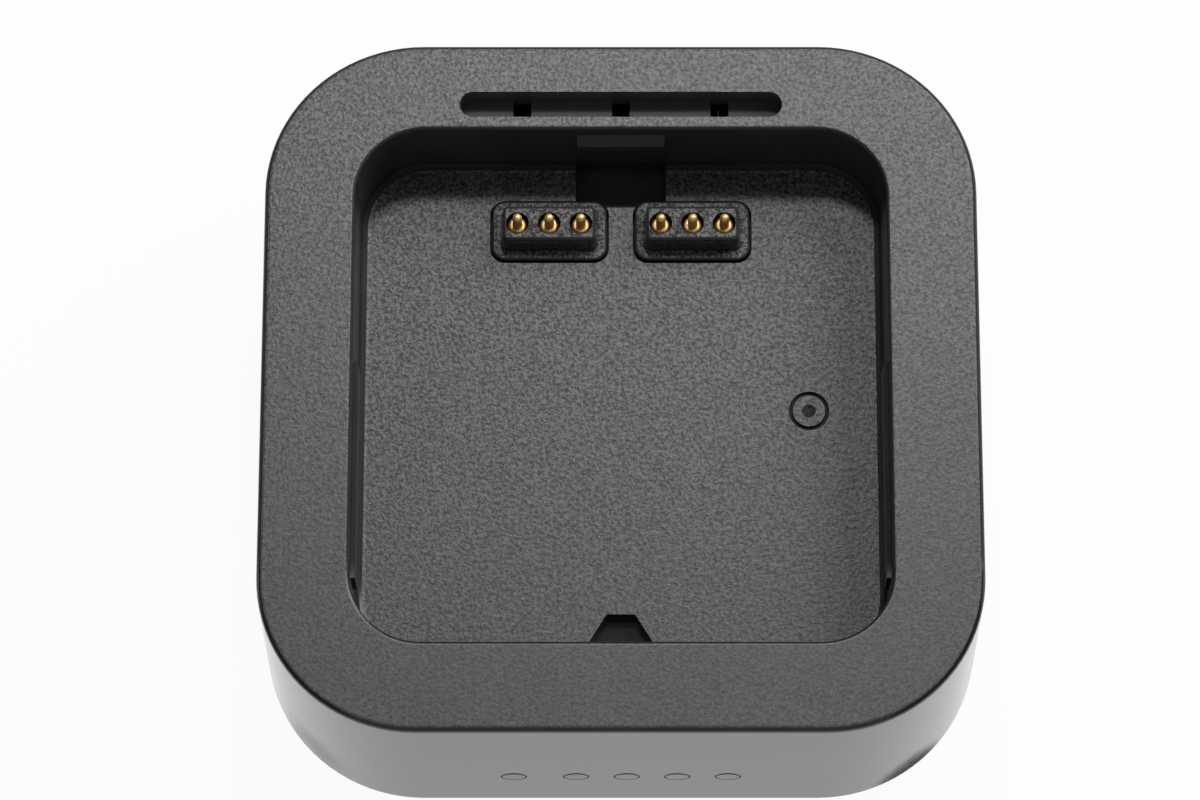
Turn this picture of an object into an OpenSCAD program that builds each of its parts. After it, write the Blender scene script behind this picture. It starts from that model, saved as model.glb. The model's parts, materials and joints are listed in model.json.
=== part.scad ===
// Desktop charger for a square camera flash battery.
// The battery drops into the top pocket and its contacts meet six sprung pins.
// X is to the right, -Y is the front with the indicators, Z is up, and z = 0 is the plane under the feet.

/* [Body] */
// Side of the square top face
body_w = 103; // [100:0.5:110]
// Height from the bottom edge of the housing to the top face
body_h = 37.4; // [36:0.2:40]
// Corner radius of the top face
corner_r = 22.7; // [21:0.1:24]
// Outward slope of the side walls, in degrees
body_draft = 1.2; // [0.8:0.1:1.6]
// Rounding of the outer top edge
edge_r = 0.9; // [0.3:0.1:1.2]
// Thickness of the side walls
wall = 2.4; // [2.2:0.1:2.8]
// Thickness of the rim round the pocket
rim_t = 2.6; // [2.2:0.1:3]
// Distance between the ribs that join the pocket to the side walls
rib_pitch = 20; // [16:0.5:24]

/* [Battery pocket] */
// Side of the square opening in the top face
pocket_w = 78; // [76.5:0.1:78.5]
// Corner radius of the opening
pocket_r = 10.8; // [9.5:0.1:12]
// Depth from the top face to the pocket floor
pocket_d = 14.3; // [13.8:0.1:15]
// Inward slope of the pocket walls, in degrees
pocket_draft = 1; // [0.6:0.1:1.4]
// Rounding of the opening's edge
lip_r = 0.6; // [0.2:0.1:0.8]
// Fillet between the pocket wall and the floor
floor_fillet = 1.3; // [0.4:0.1:1.6]
// Thickness of the pocket floor
floor_t = 2.2; // [2:0.1:2.6]
// Thickness of the pocket wall
pocket_wall = 1.8; // [1.6:0.1:2.2]
// Height of the guide rails on the side walls
rail_h = 6.2; // [5:0.1:7]
// Depth of the rails' upper edge below the top face
rail_drop = 3.6; // [3:0.1:4.4]
// How far the rails stand out of the wall
rail_out = 0.5; // [0.3:0.1:0.8]
// Place of the rails' rear end along Y
rail_rear = 4; // [0:0.5:8]

/* [Latch catch and notches] */
// Width of the catch on the rear wall
catch_w = 12.7; // [11:0.1:14]
// How far the catch stands out of the wall
catch_out = 1; // [0.6:0.1:1.2]
// Depth of the catch's upper edge below the top face
catch_drop = 2.5; // [2:0.1:3]
// Height of the catch's sloped lead-in
catch_lead = 2.1; // [1.6:0.1:2.6]
// Full height of the catch
catch_h = 4.4; // [3.8:0.1:5]
// Width of the release notch in the floor below the catch
release_w = 13.3; // [12:0.1:14]
// Length of the release notch from the rear wall forwards
release_len = 6.3; // [6:0.1:6.6]
// Chamfer along the release notch's front edge
release_chamfer = 0.4; // [0.2:0.1:0.6]
// Width of the front key notch at its narrow end
key_tip_w = 4.1; // [3.4:0.1:5]
// Width of the front key notch at the wall
key_w = 13.4; // [12:0.1:14.4]
// Length of the front key notch
key_len = 7.5; // [7:0.1:8.5]
// Depth of the front key notch
key_d = 2.4; // [1.8:0.1:3]
// Rounding of the key notch's inner corners
key_r = 0.4; // [0.2:0.1:0.6]
// Plastic left under and round the key notch
key_wall = 1.2; // [1:0.1:1.6]

/* [Vent slot] */
// Length of the slot behind the pocket
slot_len = 46.9; // [40:0.1:50]
// Width of the slot
slot_w = 3.9; // [3.4:0.1:3.9]
// Width of the strip between the slot and the pocket opening
slot_strip = 1.3; // [1.2:0.1:1.8]
// Depth of the slot down to its baffle
slot_d = 4; // [3.4:0.1:4.6]
// Thickness of the baffle and of the slot's walls
baffle_t = 1.2; // [1:0.1:1.5]
// Number of air gaps in the baffle
gap_count = 3; // [1:1:3]
// Length of each air gap
gap_len = 2.6; // [2:0.1:3]
// Distance from gap to gap
gap_pitch = 14.4; // [12:0.1:15]

/* [Gate mark] */
// Place of the gate mark on the floor, along X
gate_x = 27.4; // [24:0.1:29]
// Middle radius of the gate mark's ring
gate_r = 2.65; // [2.2:0.05:3]
// Width of the ring's groove
gate_groove_w = 0.6; // [0.4:0.05:0.7]
// Depth of the ring's groove
gate_groove_d = 0.5; // [0.3:0.05:0.7]
// Radius of the dimple in the ring's middle
gate_dimple_r = 1; // [0.7:0.05:1.2]
// Depth of the dimple
gate_dimple_d = 0.25; // [0.15:0.05:0.4]

/* [Contact blocks] */
// Distance of each contact block from the middle
block_x = 10.5; // [10.3:0.1:11.5]
// Place of the blocks along Y
block_y = 27.55; // [27:0.05:27.8]
// Width of a block at its top
block_w = 13.6; // [13:0.1:14]
// Depth of a block at its top, front to rear
block_len = 5.3; // [4.8:0.1:5.6]
// Height of a block above the pocket floor
block_h = 4.3; // [3.8:0.1:5.5]
// How much a block's foot stands out past its top
block_flare = 0.45; // [0.2:0.05:0.6]
// Corner radius of a block at its top
block_r = 0.8; // [0.6:0.1:1.2]
// Rounding of a block's top edge
block_edge = 0.45; // [0.15:0.05:0.6]
// Width of the collar that fills the floor's hole
collar_w = 16.9; // [16.4:0.1:17.6]
// Depth of the collar, front to rear
collar_len = 9.1; // [8.4:0.1:9.4]
// Corner radius of the collar
collar_r = 2; // [1.4:0.1:2.6]
// How far the collar lies behind the block's middle
collar_back = 0.1; // [0:0.05:0.4]
// Height of the collar above the pocket floor
collar_up = 0.7; // [0.4:0.1:1]
// Rounding of the collar's top edge
collar_edge = 0.3; // [0.1:0.05:0.4]
// Gap between the collar and the floor
collar_gap = 0.3; // [0.15:0.05:0.4]
// Thickness of the flange under the floor
flange_t = 1.5; // [1.2:0.1:2]
// How far the flange stands out past the collar
flange_out = 1; // [0.6:0.1:1.2]
// How far the contact board's tongue reaches behind the release notch
tongue_out = 0.8; // [0.5:0.1:1.2]

/* [Contact pins] */
// Distance from pin to pin
pin_pitch = 4.65; // [4.4:0.05:4.9]
// Place of the pins in front of the block's middle
pin_forward = 0.05; // [0:0.05:0.3]
// Diameter of the hole in the block's top
pin_hole_d = 3.35; // [3.2:0.05:3.6]
// Depth of that hole
pin_hole_deep = 2; // [1.4:0.1:2.6]
// Diameter of a barrel
barrel_d = 2.7; // [2.5:0.05:2.9]
// Depth of a barrel's top below the block's top
barrel_drop = 0.8; // [0.5:0.1:1.2]
// Rounding of a barrel's top edge
barrel_edge = 0.5; // [0.3:0.05:0.5]
// Thickness of a barrel's side
barrel_wall = 0.3; // [0.2:0.05:0.35]
// Thickness of a barrel's top and bottom
barrel_cap = 0.6; // [0.5:0.05:0.8]
// Diameter of a plunger's rod
plunger_d = 1.4; // [1.2:0.05:1.5]
// Height of a plunger's tip above the block when it is pressed in
plunger_stop = 1; // [0.6:0.1:1.4]
// Height of a plunger's foot inside the barrel
plunger_foot = 0.9; // [0.7:0.1:1.2]
// Travel of a plunger
pin_travel = 1.8; // [1.2:0.1:2]
// Radial clearance of the rod and the foot in the barrel
slide_gap = 0.04; // [0.02:0.01:0.08]
// Wire diameter of a spring
spring_wire = 0.2; // [0.15:0.01:0.25]
// Turns of a spring
spring_turns = 8; // [6:1:9]
// Diameter of the solder tail under a barrel
tail_d = 1; // [0.8:0.1:1.2]
// How far the solder tail stands out under the contact board
tail_out = 0.6; // [0.4:0.1:1]

/* [Indicators] */
// Diameter of an indicator window
window_d = 3.8; // [3.2:0.1:4]
// Depth of the windows' centres below the top face
window_drop = 25; // [24:0.1:26]
// Place of the four level windows' middle along X
level_x = 4.5; // [3.5:0.1:5]
// Distance between the level windows
level_pitch = 7.3; // [6.8:0.1:7.6]
// Distance from the first level window to the status window
status_gap = 9; // [8:0.1:9.5]
// Gap between a window and its hole
window_gap = 0.1; // [0.05:0.01:0.15]
// How far a window's face stands out of the wall
window_out = 0.06; // [0:0.02:0.12]
// Rounding of a window's front edge
window_edge = 0.25; // [0.1:0.05:0.4]
// Thickness of the bar behind the windows
guide_bar_t = 2; // [1.5:0.1:2.2]
// Height of the bar
guide_bar_h = 4; // [3.6:0.1:5]

/* [Mains inlet] */
// Distance of the inlet from the notch at the main board's rear corner
inlet_in = 1.7; // [1:0.1:3]
// Width of the inlet's moulding
inlet_w = 18.6; // [17.4:0.1:19]
// Height of the inlet's moulding
inlet_h = 9.6; // [9.2:0.1:10]
// Length of the inlet's moulding inside the body
inlet_len = 16.5; // [16:0.5:18]
// Depth of the figure-eight recess
inlet_deep = 11.5; // [10:0.5:12]
// Radius of the recess round each pin
inlet_lobe_r = 4; // [3.8:0.05:4.2]
// Distance between the pins
inlet_pitch = 8.6; // [8.4:0.1:8.8]
// Diameter of a pin
inlet_pin_d = 2.4; // [2.2:0.1:2.6]
// Distance of a pin's ends from the two ends of the moulding
inlet_pin_in = 2; // [1.5:0.1:2.5]

/* [Bottom cover] */
// Thickness of the cover
cover_t = 2.2; // [2:0.1:2.6]
// Gap between the cover and the housing
cover_gap = 0.2; // [0.1:0.05:0.3]
// Height of a foot below the cover
foot_h = 1; // [0.8:0.1:1.5]
// Diameter of a foot
foot_d = 11; // [9:0.5:12]
// Depth of a foot's recess in the cover
foot_sunk = 0.8; // [0.5:0.1:1]
// Rounding of a foot's lower edge
foot_edge = 0.4; // [0.2:0.1:0.6]
// Distance of the feet from the edges of the top face
foot_in = 20.5; // [19.5:0.5:22.5]
// Distance of the case screws from the inside of the wall at the corners
screw_in = 4.3; // [4:0.1:4.6]
// Diameter of a case screw
screw_d = 2.9; // [2.6:0.1:3]
// Length of a case screw under its head
screw_len = 10; // [8:0.5:12]
// Outer diameter of the screw bosses
boss_d = 6.4; // [6:0.1:6.8]
// Height of the pads over the screw recesses
case_pad = 1.8; // [1.4:0.1:2]
// Depth of the screw recesses
case_head_deep = 2; // [1.8:0.1:2.4]
// Radial clearance of a screw in a plain hole
screw_gap = 0.2; // [0.1:0.05:0.3]
// Number of air slits in the cover
slit_count = 7; // [3:1:7]
// Width of an air slit
slit_w = 1.6; // [1:0.1:2]
// Length of an air slit
slit_len = 18; // [12:0.5:22]
// Distance from slit to slit
slit_pitch = 3.6; // [3:0.1:4]

/* [Electronics] */
// Thickness of the circuit boards
board_t = 1.6; // [1.2:0.1:1.8]
// Distance of the main board's edges from the edges of the top face
board_in = 6.5; // [5.5:0.5:7.5]
// Square cut out of each corner of the main board
board_notch = 10; // [9:0.5:11]
// Height of the main board above the cover
board_rise = 2.2; // [2:0.1:2.6]
// Distance of the contact board's screws from its ends
contact_board_in = 2.7; // [2.4:0.1:4]
// Smallest distance of a part from an edge of the main board
edge_in = 0.4; // [0.2:0.1:1]
// Gap between the tall parts and the pocket floor above them
tall_gap = 0.9; // [0.5:0.1:1.2]
// How much lower the transistor and the output capacitors are
tall_step = 1.5; // [1:0.1:2]
// Gap between the low parts at the rear and the contact board
low_gap = 3.2; // [2.6:0.1:3.6]
// Length of the input capacitor
cap_len = 26; // [24:0.5:27]
// Diameter of an output capacitor
out_cap_d = 8; // [7:0.1:8.4]
// Distance between the output capacitors
out_cap_pitch = 12; // [10:0.5:14]
// Distance of the output capacitors from the main board's edge
out_cap_in = 14; // [12:0.5:16]
// Diameter of the fuse
fuse_d = 8.2; // [7.6:0.1:8.6]
// Distance between the fuse and the inlet
fuse_gap = 2.6; // [1:0.1:3]
// Inner radius of the choke's core
choke_bore_r = 3.4; // [3:0.1:3.6]
// Width of the choke's core
choke_w = 2.8; // [2.4:0.1:3]
// Thickness of the wire on the choke's core
choke_wire_t = 0.75; // [0.5:0.05:0.8]
// Side of the bridge rectifier along X
bridge_w = 11; // [9:0.5:11]
// Side of the bridge rectifier along Y
bridge_len = 9; // [7:0.5:9]
// Height of the bridge rectifier
bridge_h = 4; // [3:0.5:5]
// Distance of the bridge rectifier from the main board's notch
bridge_in = 2.5; // [2:0.1:3]
// Place of the transformer along X
trafo_x = 5; // [4:0.5:6]
// Place of the transformer along Y
trafo_y = 1; // [0:0.5:2]
// Side of the transformer's core
core_w = 25; // [24:0.1:26]
// Width of the core's middle leg
core_leg = 7; // [6:0.1:7.5]
// Width of the two windows in the core
winding_room = 5.4; // [5:0.1:5.8]
// Height of the bobbin's flanges above and below the core
bobbin_over = 2.9; // [2.4:0.1:3]
// Air between the transformer and the transistor
trafo_air = 4.9; // [4:0.1:6]
// Length of the heat sink
sink_len = 26; // [22:0.5:30]
// Length of the heat sink's two wings
sink_wing = 3.6; // [3:0.1:4]
// Thickness of the heat sink's sheet
sink_t = 1.6; // [1.2:0.1:2]
// Width of the control chip's body
chip_w = 10; // [8:0.5:11]
// Distance of the control chip from the main board's front edge
chip_in = 18; // [16:0.5:20]

/* [Hidden] */
$fn = 96;
eps = 0.01;
seat = 0.05;

// Levels
z_edge = foot_h;
z_top = foot_h + body_h;
z_floor = z_top - pocket_d;
z_under = z_floor - floor_t;
z_block = z_floor + block_h;
z_collar = z_floor + collar_up;
z_contact_board = z_under - flange_t;
z_cover = z_edge + cover_t;
z_board = z_cover + board_rise + board_t;
z_window = z_top - window_drop;

// Walls
slope = tan(body_draft);
body_c = body_w / 2 - corner_r;
pocket_c = pocket_w / 2 - pocket_r;
pocket_slope = tan(pocket_draft);
foot_wall_r = pocket_r - lip_r - (pocket_d - lip_r) * pocket_slope;
pocket_half = pocket_c + foot_wall_r;
arc_steps = 5;

// Cover, screws and boards
foot_at = body_w / 2 - foot_in;
screw_at = body_c + (corner_r - wall - screw_in) / sqrt(2);
head_t = 1.6;
cross_reach = 0.6;
cross_half = 0.12;
pad_out = 0.8;
hole_floor = 0.6;
board_half = body_w / 2 - board_in;
board_post_in = 6;
board_post_gap = 11;
board_post_x = board_half - board_post_in;
board_post_y = board_half - board_notch - board_post_gap;
board_screw_d = 2.4;
contact_screw_d = 2;
contact_boss_d = 5;
contact_boss_gap = 0.6;
contact_screw_x = block_x + collar_w / 2 + flange_out + contact_boss_d / 2 + contact_boss_gap;

// Places worked out from the sizes above
slot_y = pocket_w / 2 + slot_strip + slot_w / 2;
block_sides = [-1, 1];
pin_y = block_y - pin_forward;
pin_xs = [for (s = block_sides) for (i = [-1:1]) s * block_x + i * pin_pitch];
collar_y = block_y + collar_back;
barrel_top = z_block - barrel_drop;
barrel_low = z_contact_board + seat;
bore_top = barrel_top - barrel_cap;
bore_low = barrel_low + barrel_cap;
bore_r = barrel_d / 2 - barrel_wall;
foot_top = bore_top - slide_gap;
foot_low = foot_top - plunger_foot;
spring_r = bore_r - slide_gap - spring_wire;
level_xs = [for (i = [0:3]) level_x + (i - 1.5) * level_pitch];
window_xs = concat([level_xs[0] - status_gap], level_xs);
window_wall_y = -(body_w / 2 + window_drop * slope);
inner_wall_y = window_wall_y + wall;
guide_front_y = inner_wall_y + 3 * window_gap;
guide_rear_y = guide_front_y + guide_bar_t;
prong_len = 2;
led_t = 0.8;
led_front_y = guide_rear_y + prong_len + window_gap;
indicator_y = led_front_y + led_t;
inlet_y = body_w / 2 + window_drop * slope;
inlet_face_y = body_w / 2 + (z_top - z_board - inlet_h) * slope - window_gap;
inlet_z = z_board + inlet_h / 2;
inlet_x = board_half - board_notch - inlet_w / 2 - inlet_in;
contact_out = 1;
contact_front = collar_y - collar_len / 2 - flange_out - contact_out;
contact_rear = collar_y + collar_len / 2 + contact_out;
contact_low = z_contact_board - board_t;
header_pitch = 2.54;

// Coil springs
spring_sides = 5;
spring_steps = spring_turns * 12;
spring_low = bore_low + spring_wire / 2 + slide_gap;
spring_high = foot_low - spring_wire / 2 - slide_gap;

// Parts on the main board
tall_h = z_under - z_board - tall_gap;
low_h = contact_low - z_board - low_gap;
fuse_at = [inlet_x - inlet_w / 2 - fuse_gap - fuse_d / 2, board_half - edge_in - fuse_d / 2];
bridge_x = -(board_half - board_notch - bridge_in - bridge_w / 2);
choke_r = choke_bore_r + choke_w + choke_wire_t;
choke_x = (bridge_x + bridge_w / 2 + fuse_at[0] - fuse_d / 2) / 2;
choke_at = [choke_x, board_half - edge_in - choke_r];
core_t = tall_h - 2 * bobbin_over;
trafo_z = z_board + tall_h / 2;
bobbin_wall = 0.7;
bobbin_flange = 0.9;
core_side = 3.9;
bobbin_len = core_w - 2 * (core_side + screw_gap);
winding_in = 0.5;
transistor_w = 10;
transistor_t = 4.4;
transistor_x = trafo_x - core_w / 2 - trafo_air - transistor_t;
sink_x = transistor_x - seat - sink_t;
cap_gap = 1.7;
cap_x = sink_x - sink_wing - cap_gap - tall_h / 2;

function body_r(z) = corner_r + (z_top - z) * slope;
function arc(cx, cy, r, a0, a1) =
    [for (i = [0:arc_steps]) let (a = a0 + (a1 - a0) * i / arc_steps) [cx + r * cos(a), cy + r * sin(a)]];

// A rounded block whose side profile, measured outwards from the corner axes, is the child shape
module round_block(cx, cy, low, high) {
    for (q = [[1, 1, 0], [-1, 1, 90], [-1, -1, 180], [1, -1, 270]])
        translate([q[0] * cx, q[1] * cy, 0]) rotate(q[2]) rotate_extrude(angle = 90) children();
    rotate([90, 0, 0]) linear_extrude(2 * cy, center = true) across(cx, low, high) children();
    rotate([90, 0, 90]) linear_extrude(2 * cx, center = true) across(cy, low, high) children();
}

module across(c, low, high) {
    translate([c, 0]) children();
    mirror([1, 0]) translate([c, 0]) children();
    translate([-c, low]) square([2 * c, high - low]);
}

// A plate with round corners, centred on the axis
module plate(w, len, r, low, high) {
    round_block(w / 2 - r, len / 2 - r, low, high) translate([0, low]) square([r, high - low]);
}

module box(x, y, z) {
    translate([x[0], y[0], z[0]]) cube([x[1] - x[0], y[1] - y[0], z[1] - z[0]]);
}

module post(d, low, high) {
    translate([0, 0, low]) cylinder(d = d, h = high - low);
}

module stadium(len, w) {
    square([len - w, w], center = true);
    for (s = [-1, 1]) translate([s * (len - w) / 2, 0]) circle(d = w);
}

module at_corners(x, y) {
    for (sx = [-1, 1]) for (sy = [-1, 1]) translate([sx * x, sy * y, 0]) children();
}

// Upper housing: one moulding with walls, rim, pocket, catch, slot and screw bosses
module upper_housing() color([0.16, 0.16, 0.165]) {
    difference() {
        union() {
            difference() {
                housing_outside();
                housing_inside();
            }
            pocket_tub();
            slot_walls();
            key_tub();
            case_bosses();
            stiffening_ribs();
            contact_board_bosses();
        }
        pocket_space();
        vent_slot();
        release_notch();
        key_notch();
        gate_mark();
        for (s = block_sides) translate([s * block_x, collar_y, 0])
            plate(collar_w + 2 * collar_gap, collar_len + 2 * collar_gap, collar_r + collar_gap,
                z_under - 1, z_floor + 1);
        for (x = window_xs) translate([x, window_wall_y - 1, z_window]) rotate([-90, 0, 0])
            cylinder(d = window_d, h = wall + 2);
        inlet_cutout();
        case_holes();
        contact_board_holes();
    }
    guide_rails();
    latch_catch();
}

module housing_outside() {
    round_block(body_c, body_c, z_edge, z_top) polygon(concat(
        [[0, z_edge], [body_r(z_edge), z_edge]],
        arc(corner_r - edge_r, z_top - edge_r, edge_r, 0, 90),
        [[0, z_top]]
    ));
}

module housing_inside() {
    low = z_edge - 1;
    high = z_top - rim_t;
    round_block(body_c, body_c, low, high)
        polygon([[0, low], [body_r(low) - wall, low], [body_r(high) - wall, high], [0, high]]);
}

module pocket_tub() {
    w = pocket_w + 2 * pocket_wall;
    plate(w, w, pocket_r + pocket_wall, z_under, z_top - rim_t + eps);
}

module pocket_space() {
    round_block(pocket_c, pocket_c, z_floor, z_top + 1) polygon(concat(
        [[0, z_floor]],
        arc(foot_wall_r - floor_fillet, z_floor + floor_fillet, floor_fillet, -90, 0),
        [for (i = [arc_steps:-1:0]) arc(pocket_r, z_top - lip_r, lip_r, 90, 180)[i]],
        [[pocket_r, z_top + 1], [0, z_top + 1]]
    ));
}

// Guide rails on the two side walls, from the front corners to the middle
module guide_rails() {
    for (s = [-1, 1]) {
        face = pocket_half + (pocket_d - rail_drop - rail_h) * pocket_slope - rail_out;
        xs = s > 0 ? [face, pocket_half + pocket_wall / 2] : [-pocket_half - pocket_wall / 2, -face];
        box(xs, [-pocket_c, rail_rear], [z_top - rail_drop - rail_h, z_top - rail_drop]);
    }
}

// Catch that the battery's latch snaps under, with a sloped lead-in
module latch_catch() {
    root = pocket_half + (pocket_d - catch_drop) * pocket_slope;
    face = root - catch_out;
    high = z_top - catch_drop;
    low = high - catch_h;
    back = pocket_half + pocket_wall / 2;
    rotate([90, 0, 90]) linear_extrude(catch_w, center = true)
        polygon([[root, high], [face, high - catch_lead], [face, low], [back, low], [back, high]]);
}

module release_notch() {
    front = pocket_half - release_len;
    box([-release_w / 2, release_w / 2], [front, pocket_half], [z_under - 1, z_floor + floor_fillet + 1]);
    rotate([90, 0, 90]) linear_extrude(release_w, center = true) polygon([
        [front - release_chamfer - 1, z_floor + 1], [front + 1, z_floor + 1],
        [front + 1, z_floor - release_chamfer - 1]
    ]);
}

module key_outline(grow) {
    front = -pocket_half - grow;
    rear = -pocket_half + key_len + grow;
    r = key_r + grow;
    turn = atan2(rear - front, (key_w - key_tip_w) / 2);
    x = key_tip_w / 2 + grow - r * tan(turn / 2);
    polygon(concat(
        [[-key_w / 2 - grow, front]],
        arc(-x, rear - r, r, 90 + turn, 90),
        arc(x, rear - r, r, 90, 90 - turn),
        [[key_w / 2 + grow, front]]
    ));
}

module key_tub() {
    translate([0, 0, z_floor - key_d - key_wall])
        linear_extrude(key_d + key_wall - floor_t / 2) key_outline(key_wall);
}

module key_notch() {
    translate([0, 0, z_floor - key_d]) linear_extrude(key_d + floor_fillet + 1) key_outline(0);
}

module gate_mark() {
    translate([gate_x, 0, 0]) {
        difference() {
            post(2 * gate_r + gate_groove_w, z_floor - gate_groove_d, z_floor + gate_groove_d);
            post(2 * gate_r - gate_groove_w, z_floor - 1, z_floor + 1);
        }
        rotate_extrude() polygon([
            [0, z_floor - gate_dimple_d], [gate_dimple_r / 2, z_floor - gate_dimple_d],
            [gate_dimple_r, z_floor], [gate_dimple_r, z_floor + 1], [0, z_floor + 1]
        ]);
    }
}

// Slot in the rear rim, closed below by a baffle with air gaps
module slot_walls() {
    low = z_top - slot_d - baffle_t;
    translate([0, slot_y, low]) linear_extrude(slot_d + baffle_t - rim_t + eps)
        stadium(slot_len + 2 * baffle_t, slot_w + 2 * baffle_t);
}

module vent_slot() {
    translate([0, slot_y, z_top - slot_d]) linear_extrude(slot_d + 1) stadium(slot_len, slot_w);
    for (i = [0:gap_count - 1]) {
        x = (i - (gap_count - 1) / 2) * gap_pitch;
        box([x - gap_len / 2, x + gap_len / 2], [slot_y - slot_w / 2, slot_y + slot_w / 2],
            [z_top - slot_d - baffle_t - 1, z_top - slot_d + eps]);
    }
}

module case_bosses() {
    low = z_cover + case_pad + seat;
    rib_len = 11;
    at_corners(screw_at, screw_at) post(boss_d, low, z_top - rim_t + eps);
    for (q = [45, 135, 225, 315]) rotate(q) translate([screw_at * sqrt(2), 0, 0])
        box([-rib_len / 2, rib_len / 2], [-baffle_t / 2, baffle_t / 2], [z_under, z_top - rim_t + eps]);
}

module case_holes() {
    low = z_cover + case_pad + seat;
    at_corners(screw_at, screw_at) post(screw_d + 2 * seat, low - 1, z_edge + case_head_deep + screw_len + 1);
}

module stiffening_ribs() {
    near = pocket_w / 2 + pocket_wall / 2;
    far = body_w / 2 - wall / 2;
    for (q = [0, 180, 270]) rotate(q) for (y = [-rib_pitch, 0, rib_pitch])
        box([near, far], [y - baffle_t / 2, y + baffle_t / 2], [z_under, z_top - rim_t + eps]);
}

module contact_board_bosses() {
    for (s = [-1, 1]) translate([s * contact_screw_x, collar_y, 0])
        post(contact_boss_d, z_contact_board + seat, z_under + eps);
}

module contact_board_holes() {
    for (s = [-1, 1]) translate([s * contact_screw_x, collar_y, 0])
        post(contact_screw_d + 2 * seat, z_contact_board - 1, z_floor - hole_floor);
}

module inlet_cutout() {
    box([inlet_x - inlet_w / 2 - window_gap, inlet_x + inlet_w / 2 + window_gap],
        [inlet_y - wall - 2, inlet_y + 2],
        [z_board - window_gap, z_board + inlet_h + window_gap]);
}

// Bottom cover: inset plate with screw recesses, foot recesses, board posts and air slits
module bottom_cover() color([0.14, 0.14, 0.145]) difference() {
    union() {
        r = body_r(z_cover) - wall - cover_gap;
        plate(2 * (body_c + r), 2 * (body_c + r), r, z_edge, z_cover);
        at_corners(screw_at, screw_at) post(boss_d + 2 * pad_out, z_cover - eps, z_cover + case_pad);
        at_corners(board_post_x, board_post_y) post(boss_d, z_cover - eps, z_cover + board_rise);
    }
    at_corners(screw_at, screw_at) {
        post(screw_d + 2 * screw_gap, z_edge - 1, z_cover + case_pad + 1);
        post(2 * (screw_d + screw_gap), z_edge - 1, z_edge + case_head_deep);
    }
    at_corners(foot_at, foot_at) post(foot_d + 2 * window_gap, z_edge - 1, z_edge + foot_sunk);
    at_corners(board_post_x, board_post_y)
        post(board_screw_d + 2 * seat, z_cover + hole_floor, z_cover + board_rise + 1);
    for (i = [0:slit_count - 1])
        translate([(i - (slit_count - 1) / 2) * slit_pitch, 0, z_edge - 1])
            linear_extrude(cover_t + 2) rotate(90) stadium(slit_len, slit_w);
}

module foot(sx, sy) color([0.1, 0.1, 0.1]) translate([sx * foot_at, sy * foot_at, 0])
    rotate_extrude() polygon(concat(
        [[0, 0]],
        arc(foot_d / 2 - foot_edge, foot_edge, foot_edge, -90, 0),
        [[foot_d / 2, foot_h + foot_sunk], [0, foot_h + foot_sunk]]
    ));

// A cross-head screw that points up, with the underside of its head at the given level
module screw_up(d, len, level) {
    difference() {
        union() {
            post(2 * d, level - head_t, level);
            post(d, level - eps, level + len);
        }
        for (a = [0, 90]) rotate(a)
            box([-cross_reach * d, cross_reach * d], [-cross_half * d, cross_half * d],
                [level - head_t - 1, level - head_t / 2]);
    }
}

module case_screws() color([0.55, 0.55, 0.57])
    at_corners(screw_at, screw_at) screw_up(screw_d, screw_len, z_edge + case_head_deep);

// Contact blocks: the raised block, its collar that stands out of the floor and the flange under the floor
module contact_block(s) color([0.12, 0.12, 0.125]) translate([s * block_x, 0, 0]) difference() {
    union() {
        translate([0, block_y, 0]) block_body();
        translate([0, collar_y, 0]) collar();
        flange_y0 = collar_y - collar_len / 2 - flange_out;
        flange_y1 = collar_y + collar_len / 2;
        x = [-block_x + flange_out / 2, collar_w / 2 + flange_out];
        box(s > 0 ? x : [-x[1], -x[0]], [flange_y0, flange_y1], [z_contact_board + seat, z_under - seat]);
    }
    for (i = [-1:1]) translate([i * pin_pitch, pin_y, 0]) {
        post(pin_hole_d, z_block - pin_hole_deep, z_block + 1);
        post(barrel_d + 2 * slide_gap, z_contact_board - 1, z_block);
    }
}

module collar() {
    low = z_contact_board + seat;
    round_block(collar_w / 2 - collar_r, collar_len / 2 - collar_r, low, z_collar) polygon(concat(
        [[0, low], [collar_r, low]],
        arc(collar_r - collar_edge, z_collar - collar_edge, collar_edge, 0, 90),
        [[0, z_collar]]
    ));
}

module block_body() {
    foot_r = block_r + block_flare;
    round_block(block_w / 2 - block_r, block_len / 2 - block_r, z_collar - eps, z_block) polygon(concat(
        [[0, z_collar - eps], [foot_r, z_collar - eps]],
        arc(block_r - block_edge, z_block - block_edge, block_edge, 0, 90),
        [[0, z_block]]
    ));
}

module at_pin(i) translate([pin_xs[i], pin_y, 0]) children();

// Brass barrel with a rounded shoulder and a solder tail
module pin_barrel(i) color([0.83, 0.66, 0.32]) at_pin(i) rotate_extrude() polygon(concat(
    [[0, barrel_low - board_t - tail_out], [tail_d / 2, barrel_low - board_t - tail_out],
     [tail_d / 2, barrel_low], [barrel_d / 2, barrel_low]],
    arc(barrel_d / 2 - barrel_edge, barrel_top - barrel_edge, barrel_edge, 0, 90),
    [[plunger_d / 2 + slide_gap, barrel_top], [plunger_d / 2 + slide_gap, bore_top],
     [bore_r, bore_top], [bore_r, bore_low], [0, bore_low]]
));

// Plunger with a domed tip and a foot that stops under the barrel's shoulder
module pin_plunger(i) color([0.86, 0.7, 0.36]) at_pin(i) {
    tip = z_block + plunger_stop + pin_travel;
    rotate_extrude() polygon(concat(
        [[0, foot_low], [bore_r - slide_gap, foot_low], [bore_r - slide_gap, foot_top],
         [plunger_d / 2, foot_top]],
        arc(0, tip - plunger_d / 2, plunger_d / 2, 0, 90)
    ));
}

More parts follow.
